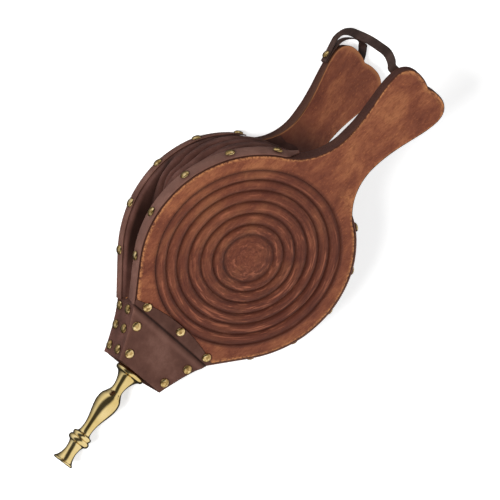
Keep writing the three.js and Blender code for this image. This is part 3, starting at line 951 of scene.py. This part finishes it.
def gusset_path():
    """Stations round the bellows: x, y, outward direction and lift, as in the CAD gusset."""
    side = (nose_side + shoulder_side) + disc_side
    lift = np.zeros(len(side.points))
    angles = np.linspace(NECK_ANGLE, -NECK_ANGLE, 46)[1:-1]
    ray = np.stack([np.cos(angles), np.sin(angles)], 1)
    back = side.mirrored()
    points = np.vstack([side.points, np.array([DISC_X, 0]) + DISC_RADIUS * ray, back.points])
    normals = np.vstack([side.normals, ray, back.normals])
    lift = np.concatenate([lift, np.ones(len(angles)), lift])
    blur = np.convolve(np.pad(lift, 3, mode="edge"), np.ones(7) / 7, mode="valid")
    return points, normals, blur


def folds(angle, t, side):
    """How far the slack leather stands out, 0 to 1: diagonal folds with sharp valleys.
    angle is in degrees from the handle, t goes from the rear rim to the front rim."""
    wander = 4 * np.sin(math.radians(5.3) * angle + side) + 3 * np.sin(t * 7 + side * 2)
    slanted = (angle - FOLD_SLANT * t + wander - FOLD_START) / FOLD_PERIOD + 0.5
    main = 1 - np.abs(np.mod(slanted, 1) * 2 - 1) ** 2.2
    slow = 0.5 + 0.5 * np.sin(math.radians(7) * angle + t * 3 + side * 3)
    return main * (0.75 + 0.25 * slow)


def make_gusset():
    points, normals, lift = gusset_path()
    offset = GAP + LEATHER / 2
    surface, weights, shade = [], [], []
    for (x, y), (nx, ny), raised in zip(points, normals, lift):
        px, py = x + nx * offset, y + ny * offset
        low = mix(1 * mm, THICK + LEDGE, raised)
        rear_rim = mix(THICK - FOLD_EDGE, THICK + LEDGE, raised)
        front_rim = mix(FRONT_INNER + FOLD_EDGE, FRONT_INNER - LEATHER, raised)
        high = mix(FRONT_FACE - 4.5 * mm, FRONT_INNER - FOLD_EDGE, raised)
        angle = math.degrees(math.atan2(y, x - DISC_X))
        if x <= CREASE_X + 0.01 * mm:
            row = [(px, py, z) for z in np.linspace(low, FRONT_FACE + 0.2 * mm, FOLD_ROWS + 5)]
            surface.append(row)
            weights.append([0.0] * len(row))
            shade.append([0.0] * len(row))
            continue
        side = 0.0 if y > 0 else 2.1
        start = np.array([px, py, rear_rim])
        end = opened([px, py, front_rim])
        width = np.linalg.norm(end - start)
        t = np.linspace(0, 1, FOLD_ROWS + 1)
        vee = 1 - np.abs(2 * t - 1) ** 1.3
        slack = smooth_step(-abs(angle), -DEEP_ANGLE, -SLACK_ANGLE)
        deep = min(0.85 * width, DEEPEST) * min(1.0, width / (10 * mm)) * vee
        shallow = 0.3 * width * np.sin(math.pi * t) ** 0.8
        pleat = folds(abs(angle), t, side)
        bulge = 0.4 * width * pleat * np.sin(math.pi * t) ** 0.7
        inside = np.maximum(mix(deep, shallow - bulge, slack), -1.5 * mm)
        inward = np.array([-nx, -ny, 0])
        fold = start + (end - start) * t[:, None] + inward * inside[:, None]
        # at the neck the leather laps on to the rear board's inner face
        reach = NECK_RADIUS**2 - (NECK_Y - 1.5 * mm - abs(py)) ** 2
        lap = min(max(NECK_X - math.sqrt(max(reach, 0.0)) - px, 0.0), LAP) if raised > 0.9 else 0.0
        lap = lap * (1 + 0.1 * math.sin(angle * 0.5))
        first = np.array([px + lap, py, low])
        tail = opened([(px, py, mix(front_rim, high, 0.4)), (px, py, high)])
        surface.append(np.vstack([first, mix(first, start, 0.55), fold, tail]))
        weights.append([0, 0] + list(t) + [1, 1])
        # painted shade: past a narrow lit strip the deep fold goes dark, and so do the valleys between slack
        # folds, less where the gusset is narrow
        hollow = mix(smooth_step(t, 0.0, 0.065), (1 - np.clip(1.3 * pleat, 0, 1)) ** 0.8, slack)
        hollow = hollow * (t < 0.97)
        shade.append([0, 0] + list(hollow * smooth_step(width, 4 * mm, 20 * mm)) + [0, 0])
    grid = shell(surface, LEATHER * 0.8)
    piece = facing_out(make("gusset_folded", grid, gusset_leather, sharp=60))
    set_value(piece, "shade", np.tile(np.array(shade).ravel(), 2))
    middle = HINGE + Vector((0.1, 0, 0))
    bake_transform(piece, REAR, FRONT, start=middle, end=middle + Vector((0, 0, 0.03)))
    set_value(piece, "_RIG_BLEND", np.tile(np.array(weights).ravel(), 2))
    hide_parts("gusset")


make_gusset()

# ---- Bands tacked over the gusset's edges ----

BAND_OFFSET = 2 * GAP + 1.5 * LEATHER
REAR_BAND = (1 * mm, 11 * mm)
FRONT_BAND = (FRONT_FACE - 15 * mm, FRONT_FACE - 0.6 * mm)
TACK_SPACING = 43 * mm
TIP_LENGTH = 17 * mm
TUCK = LEATHER + GAP
TUCK_WIDTH = 3.2 * mm


def make_band(name, side, low, high, body, tip):
    """A strip of leather along a board's edge, which stands out a little between the tacks. With
    a tip it ends in a point beyond the last tack, and its upper rim is tucked in to the wood."""
    along = run_lengths(side.points)
    lift = 0.2 * mm * (1 + np.sin(along * 2 * math.pi / TACK_SPACING))
    width = high - low
    rings = []
    for (x, y), (nx, ny), extra, place in zip(side.points, side.normals, lift, along):
        out = Vector((nx, ny, 0))
        keep = 1.0
        if tip:
            keep = 1 - 0.8 * float(smooth_step(place, along[-1] - TIP_LENGTH, along[-1]))
        half = width * keep / 2
        middle = Vector((x, y, low + half)) + out * (BAND_OFFSET + extra * 0.3)
        ring = []
        for a, n in rounded_section(width * keep, LEATHER, 0.4 * mm):
            tuck = TUCK * float(smooth_step(a, half - TUCK_WIDTH, half)) if tip else 0.0
            ring.append(middle + Vector((0, 0, a)) + out * (n - tuck))
        rings.append(ring)
    grid = Grid().solid(rings)
    rest = list(grid.points)
    if body == FRONT:
        grid.points = opened(grid.points)
    piece = facing_out(make(name, grid, trim_leather, rest=rest))
    heights = np.array(rest)[:, 2]
    rim = np.abs(heights - (low + high) / 2) / (width / 2)
    # the band's rims are paler, partly wear and partly a painted highlight
    set_value(piece, "wear_and_highlight", np.clip((rim - 0.88) / 0.12, 0, 1) * (1.0 if tip else 0.4))
    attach(piece, body)
    return piece


band_side = shoulder_side + disc_side
tip_side = Side(neck_side.points[:5], neck_side.normals[:5])
for board_name, span, body in (("rear", REAR_BAND, REAR), ("front", FRONT_BAND, FRONT)):
    for word, sign in (("left", 1), ("right", -1)):
        side = band_side + tip_side if body == FRONT else band_side
        side = Side(side.points * [1, sign], side.normals * [1, sign])
        node = f"{board_name}_band_{word}"
        band = make_band(f"{node}_strip", side, *span, body, body == FRONT)
        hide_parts(node)

# ---- Leather over the nose and across the hinge ----

STRIP_CORNER = Vector((-101.2 * mm, 54.4 * mm))
STRIP_MIDDLE_X = -92.2 * mm
RIM_START = 0.96
# the dip at the crease and the swell in front of it, 1 high, in millimetres
CREASE_DIP = 1.1
CREASE_DIP_WIDTH = 1.4
SWELL_PLACE = 5
SWELL_WIDTH = 2.6


def nose_half(x):
    """Half the width of the leather at x on the nose."""
    return float(np.interp(x, nose_side.points[:, 0], nose_side.points[:, 1] + GAP + LEATHER))


def nose_rise(ahead):
    """Height of the leather's middle over the boards' faces, by the distance in millimetres from
    the crease, which is negative on the nose and positive on the front board."""
    base = (GAP + LEATHER / 2) / mm
    dip = CREASE_DIP * math.exp(-abs(ahead) / CREASE_DIP_WIDTH)
    swell = math.exp(-(((ahead + SWELL_PLACE) / SWELL_WIDTH) ** 2)) if ahead < 0 else 0.0
    return (base - dip + swell) * mm


def make_nose_leather():
    columns = np.linspace(-1, 1, 33)
    turn_steps = 4
    turn = 1.6 * mm
    surface, weights, wear_and_highlight, shade, rest = [], [], [], [], []

    def add(row, share, ahead):
        rest.append(list(row))
        surface.append(opened(row) if share else np.array(row))
        weights.append([float(share)] * len(row))
        # a pale line on the swell before the crease is a painted highlight, the dark line at the crease is painted
        # shade, and the hinge strip is a little darker leather throughout
        wear_and_highlight.append([0.8 * math.exp(-(((ahead + 5.5) / 2.2) ** 2)) * (1 - share)] * len(row))
        dark = math.exp(-((ahead / 1.8) ** 2))
        shade.append([max(dark, 0.3 * share)] * len(row))

    far = np.linspace(NOSE_X, -118 * mm, 14)
    near = np.linspace(-116.5 * mm, CREASE_X - 0.5 * mm, 14)
    for x in np.concatenate([far, near]):
        half = nose_half(x)
        ahead = (x - CREASE_X) / mm
        z = FRONT_FACE + nose_rise(ahead)
        corner = []
        for angle in np.linspace(math.pi / 2, 0, turn_steps + 1)[:-1]:
            corner.append((half - turn + turn * math.sin(angle), z - turn * (1 - math.cos(angle))))
        row = [(x, -y, height) for y, height in corner]
        row += [(x, (half - turn) * u, z) for u in columns]
        row += [(x, y, height) for y, height in reversed(corner)]
        add(row, 0, ahead)
    rim = np.linspace(RIM_START, 1, turn_steps + 1)[1:]
    ends = np.concatenate([-rim[::-1], columns * RIM_START, rim])
    for share in np.concatenate([np.linspace(0.02, 0.3, 6), np.linspace(0.4, 1, 8)]):
        row = []
        for u in ends:
            half = mix(CREASE_HALF, STRIP_CORNER.y, share)
            x = mix(CREASE_X, mix(STRIP_MIDDLE_X, STRIP_CORNER.x, u * u), share)
            ahead = (x - CREASE_X) / mm
            droop = LEATHER * max(0.0, (abs(u) - RIM_START) / (1 - RIM_START)) ** 2
            row.append((x, half * u, FRONT_FACE + nose_rise(ahead) - droop))
        add(row, 1, 12.0 * share)
    grid = shell(np.array(surface), LEATHER * 0.9)
    piece = facing_out(make("nose_leather", grid, trim_leather))
    double = lambda values: np.tile(np.array(values, float).ravel(), 2)
    set_rest(piece, np.vstack([np.array(rest).reshape(-1, 3)] * 2))
    set_value(piece, "wear_and_highlight", double(wear_and_highlight))
    set_value(piece, "shade", double(shade))
    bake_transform(piece, REAR, FRONT, start=HINGE - Vector((1 * mm, 0, 0)), end=HINGE)
    set_value(piece, "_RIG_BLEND", double(weights))
    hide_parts("nose_cover", "hinge_leather")


make_nose_leather()

# ---- Valve ----


def plate(name, outline, low, high, rounding, material):
    """A flat piece with rounded edges."""
    outline = np.array(outline, float)
    ahead = np.roll(outline, -1, axis=0) - np.roll(outline, 1, axis=0)
    inward = np.stack([-ahead[:, 1], ahead[:, 0]], 1)
    inward /= np.linalg.norm(inward, axis=1)[:, None]
    angles = np.linspace(0, math.pi / 2, 4)
    levels = [(a, low + rounding * (1 - math.cos(a))) for a in angles]
    levels += [(a, high - rounding * (1 - math.cos(a))) for a in angles[::-1]]
    rings = []
    for angle, z in levels:
        rim = outline + inward * rounding * (1 - math.sin(angle))
        rings.append([(x, y, z) for x, y in rim])
    return facing_out(make(name, Grid().solid(rings), material))


def subdivided(corners, step):
    """A closed outline with points between its corners, about a step apart."""
    points = []
    for a, b in zip(corners, corners[1:] + corners[:1]):
        a, b = np.array(a), np.array(b)
        count = max(1, round(np.linalg.norm(b - a) / step))
        points += [mix(a, b, k / count) for k in range(count)]
    return points


def make_valve():
    low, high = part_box("valve_flap")
    half = high.y
    round_part = [
        (INTAKE_X + half * math.cos(a), half * math.sin(a))
        for a in np.linspace(-math.pi / 2, math.pi / 2, 33)
    ]
    outline = [(low.x, -half)] + round_part + [(low.x, half)]
    flap = plate("valve_flap_leather", outline, low.z, high.z, 0.8 * mm, valve_leather)
    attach(flap, VALVE)
    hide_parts("valve_flap")
    low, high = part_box("valve_tab")
    corners = [(low.x, low.y), (high.x, low.y), (high.x, high.y), (low.x, high.y)]
    outline = subdivided(corners, 3 * mm)
    tab = plate("valve_tab_leather", outline, low.z, high.z, 0.5 * mm, valve_leather)
    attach(tab, REAR)
    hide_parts("valve_tab")


make_valve()

# ---- Straps at the handles ----

STRAP_WIDTH = 9 * mm
STRAP_THICK = 1.4 * mm
STRAP_Z = 9.5 * mm
LOOP_OFFSET = GAP + STRAP_THICK / 2
STRAP_OFFSET = 2 * GAP + 1.5 * STRAP_THICK
HANDLE_CURVE = 9.5


def handle_edge(x):
    """Half the rear handle's width near its widest place, in metres, at x in millimetres."""
    return HANDLE_HALF - HANDLE_CURVE * (HANDLE_WIDE_X - x * mm) ** 2


def strap(name, path, turned, twist_start, twist_end, steps):
    """A flat strap. Its width turns from Z to the direction turned between the twist shares."""
    spline = CatmullRom(path)
    section = rounded_section(STRAP_WIDTH, STRAP_THICK, 0.5 * mm)
    rings = []
    for t in np.linspace(0, 1, steps + 1):
        place, along = spline.at(t)
        angle = math.pi / 2 * smooth_step(t, twist_start, twist_end)
        across = Vector((0, 0, math.cos(angle))) + Vector(turned) * math.sin(angle)
        across = (across - along * across.dot(along)).normalized()
        normal = across.cross(along).normalized()
        rings.append([place + across * a + normal * n for a, n in section])
    return facing_out(make(name, Grid().solid(rings), strap_leather))


class CatmullRom:
    """A centripetal curve, as the CAD straps follow, read at even shares of its knots."""

    def __init__(self, points):
        self.points = points

    def at(self, t):
        p = self.points
        place = (len(p) - 1) * t
        i = min(int(place), len(p) - 2)
        w = place - i
        before = p[i - 1] if i > 0 else 2 * p[0] - p[1]
        after = p[i + 2] if i + 2 < len(p) else 2 * p[-1] - p[-2]
        value, slope = self.piece(before, p[i], p[i + 1], after, w)
        return Vector(value), Vector(slope).normalized()

    def piece(self, p0, p1, p2, p3, w):
        d0, d1, d2 = (math.sqrt(np.linalg.norm(b - a)) for a, b in ((p0, p1), (p1, p2), (p2, p3)))
        m1 = ((p1 - p0) / d0 - (p2 - p0) / (d0 + d1) + (p2 - p1) / d1) * d1
        m2 = ((p2 - p1) / d1 - (p3 - p1) / (d1 + d2) + (p3 - p2) / d2) * d1
        c2 = -3 * p1 + 3 * p2 - 2 * m1 - m2
        c3 = 2 * p1 - 2 * p2 + m1 + m2
        return p1 + m1 * w + c2 * w * w + c3 * w**3, m1 + 2 * c2 * w + 3 * c3 * w * w


def make_straps():
    # all in millimetres, and the upper points as they are with the bellows closed
    edge = lambda x: handle_edge(x) / mm
    z = STRAP_Z / mm
    loop_gap = LOOP_OFFSET / mm
    strap_gap = STRAP_OFFSET / mm
    under = lambda x: taper(x * mm) / mm
    loop = np.array([
        (202.5, edge(202.5) + loop_gap + 0.4, z), (210, edge(210) + loop_gap + 0.2, z),
        (218, 34 + loop_gap + 0.5, z), (228.3, 34.8, z), (234.3, 32.1, z), (238.7, 28.2, z),
        (242.3, 23.6, z), (244.9, 19.4, z - 0.3), (246, 15, z - 0.8), (245.2, 10.5, 7.8),
        (242, 6.5, 6.6), (237.5, 2.5, 5.4), (231, -0.5, under(231) - loop_gap),
        (223, -2, under(223) - loop_gap), (215, -2, under(215) - loop_gap),
    ]) * mm
    piece = strap("hanging_loop_strap", loop, (0, -1, 0), 0.54, 0.7, 96)
    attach(piece, REAR)
    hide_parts("hanging_loop")
    end_x = 220
    end_z = FRONT_INNER / mm + under(end_x) - loop_gap
    lower = [
        (202.5, edge(202.5) + strap_gap + 0.4, z), (210, edge(210) + strap_gap + 0.4, z),
        (220.8, 39.3, z + 0.1), (228.6, 41.3, 11), (235.2, 42, 16.6), (237.4, 41.8, 25.9),
        (236.4, 41.3, 37.9), (232.5, 40.2, 63.8), (227.6, 38.8, 85.4), (222.6, 37.2, 102.8),
        (215, 35.6, 115.4),
    ]
    upper = [(end_x, 34.7, end_z - 2.6), (end_x, 32, end_z - 0.3)]
    upper += [(end_x, y, end_z) for y in (27, 20, 15)]
    link = np.vstack([np.array(lower) * mm, opened(np.array(upper) * mm)])
    lean = OPEN_ANGLE + math.atan(TAPER / (TAPER_END - TAPER_START))
    turned = (-math.cos(lean), 0, -math.sin(lean))
    piece = strap("connecting_strap_bent", link, turned, 0.2, 0.4, 150)
    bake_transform(piece, REAR, FRONT, start=(0.237, 0.0415, 0.02), end=(0.2172, 0.0375, 0.108))
    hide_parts("connecting_strap")


make_straps()

# ---- Tacks: domed heads, each where its CAD node is ----

TACK_RIM = 0.25 * mm


def tack_seat(node):
    """The middle of a CAD tack's base, the way it points, its radius and its height."""
    points = coordinates(frame["nodes"][node])
    centre = points.mean(0)
    axis = np.linalg.svd(points - centre)[2][2]
    height = (points - centre) @ axis
    away = np.linalg.norm(points - centre - height[:, None] * axis, axis=1)
    if height[np.argmax(away)] > 0:
        axis, height = -axis, -height
    rim = points[height - height.min() < 0.05 * mm]
    radius = np.linalg.norm(rim - rim.mean(0), axis=1).max()
    return Vector(rim.mean(0)), Vector(axis), radius, np.ptp(height)


def make_tack(node, body):
    place, axis, radius, height = tack_seat(node)
    profile = [(0, 0), (radius * 0.9, 0)]
    rise = height - TACK_RIM
    for angle in np.linspace(0, math.pi / 2, 10):
        profile.append((radius * math.cos(angle), TACK_RIM + rise * math.sin(angle)))
    profile[-1] = (0, height)
    piece = turned(f"{node}_dome", profile, place, axis, dull_brass, 28, closed=False)
    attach(piece, body)
    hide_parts(node)


bodies = frame["record"]["behaviour"]["bodies"]
node_body = {member: body for body, members in bodies.items() for member in members}
for node in sorted(node_body):
    if "tack" in node:
        make_tack(node, node_body[node])

# ---- Floor and light ----

# strengths of the light from all round, of the surround in view and of the mirrored walls
SKY = 0.3
SURROUND = 0.95
MIRRORED = 1.15
# how much the gap above turns along X; each gap's middle, start and end of its soft edge, in
# degrees, and what is left of the light in it
GAP_SKEW = math.radians(28)
GAP_ABOVE = (47, 20, 48, 0.06)
GAP_BELOW = (-121, 34, 130, 0.03)
FLOOR = 6.0
FLOOR_GAP = 0.5 * mm


def make_stage():
    grid = Grid()
    grid.row([(x * FLOOR, y * FLOOR, 0) for x, y in ((-1, -1), (1, -1), (1, 1), (-1, 1))])
    grid.faces.append((0, 1, 2, 3))
    tree = Tree("pale_floor", roughness=0.9)
    speck = tree.noise((3, 3, 3), 2, 0.5)
    base = tree.ramp(speck, (0.3, (0.93, 0.93, 0.93, 1)), (0.7, (0.95, 0.95, 0.95, 1)))
    tree.put(tree.shader.inputs["Emission Color"], (1, 1, 1, 1))
    tree.put(tree.shader.inputs["Emission Strength"], 0.5)
    floor = make("floor", grid, tree.finish(base))
    floor.location.z = -FLOOR_GAP
    floor.visible_glossy = False


def area_light(name, place, size, power):
    data = bpy.data.lights.new(name, "AREA")
    data.shape = "DISK"
    data.size = size
    data.energy = power
    lamp = bpy.data.objects.new(name, data)
    lamp.location = place
    lamp.visible_glossy = False
    lamp.rotation_mode = "QUATERNION"
    lamp.rotation_quaternion = (Vector((0, 0, 0.05)) - Vector(place)).to_track_quat("-Z", "Y")
    bpy.context.scene.collection.objects.link(lamp)


def make_sky(world):
    """A soft even light, with a white surround in view. Glossy surfaces mirror a studio: bright
    walls, a dark gap over the bellows and a dark place below it."""
    tree = Nodes(world)

    def gap(lean, middle, soft_start, soft_end, low):
        """Dims what lies at an angle round X, in degrees, and is 1 away from it."""
        away = tree.math("ABSOLUTE", tree.math("SUBTRACT", lean, math.radians(middle)))
        return tree.remap(away, math.radians(soft_start), math.radians(soft_end), low)

    parts = tree.nodes.new("ShaderNodeSeparateXYZ")
    tree.put(parts.inputs[0], tree.nodes.new("ShaderNodeTexCoord").outputs["Generated"])
    lean = tree.math("ARCTAN2", parts.outputs["Z"], parts.outputs["Y"])
    skewed = tree.math("SUBTRACT", lean, tree.math("MULTIPLY", parts.outputs["X"], GAP_SKEW))
    walls = tree.math("MULTIPLY", gap(skewed, *GAP_ABOVE), gap(lean, *GAP_BELOW))
    walls = tree.math("MULTIPLY", walls, MIRRORED)
    path = tree.nodes.new("ShaderNodeLightPath")
    seen = tree.math("MULTIPLY", walls, path.outputs["Is Glossy Ray"])
    plain = tree.math("SUBTRACT", 1, path.outputs["Is Glossy Ray"])
    camera = tree.math("MULTIPLY", path.outputs["Is Camera Ray"], SURROUND - SKY)
    plain = tree.math("MULTIPLY", plain, tree.math("ADD", camera, SKY))
    sky = tree.nodes["Background"]
    tree.put(sky.inputs["Color"], (1, 1, 1, 1))
    tree.put(sky.inputs["Strength"], tree.math("ADD", seen, plain))


def make_light():
    world = bpy.data.worlds.new("studio")
    bpy.context.scene.world = world
    make_sky(world)
    area_light("key", (-0.87, 1.16, 1.3), 0.6, 38)
    area_light("fill", (1.0, 0.1, 1.6), 1.0, 5)
    bpy.context.scene.view_settings.view_transform = "Standard"


make_stage()
make_light()
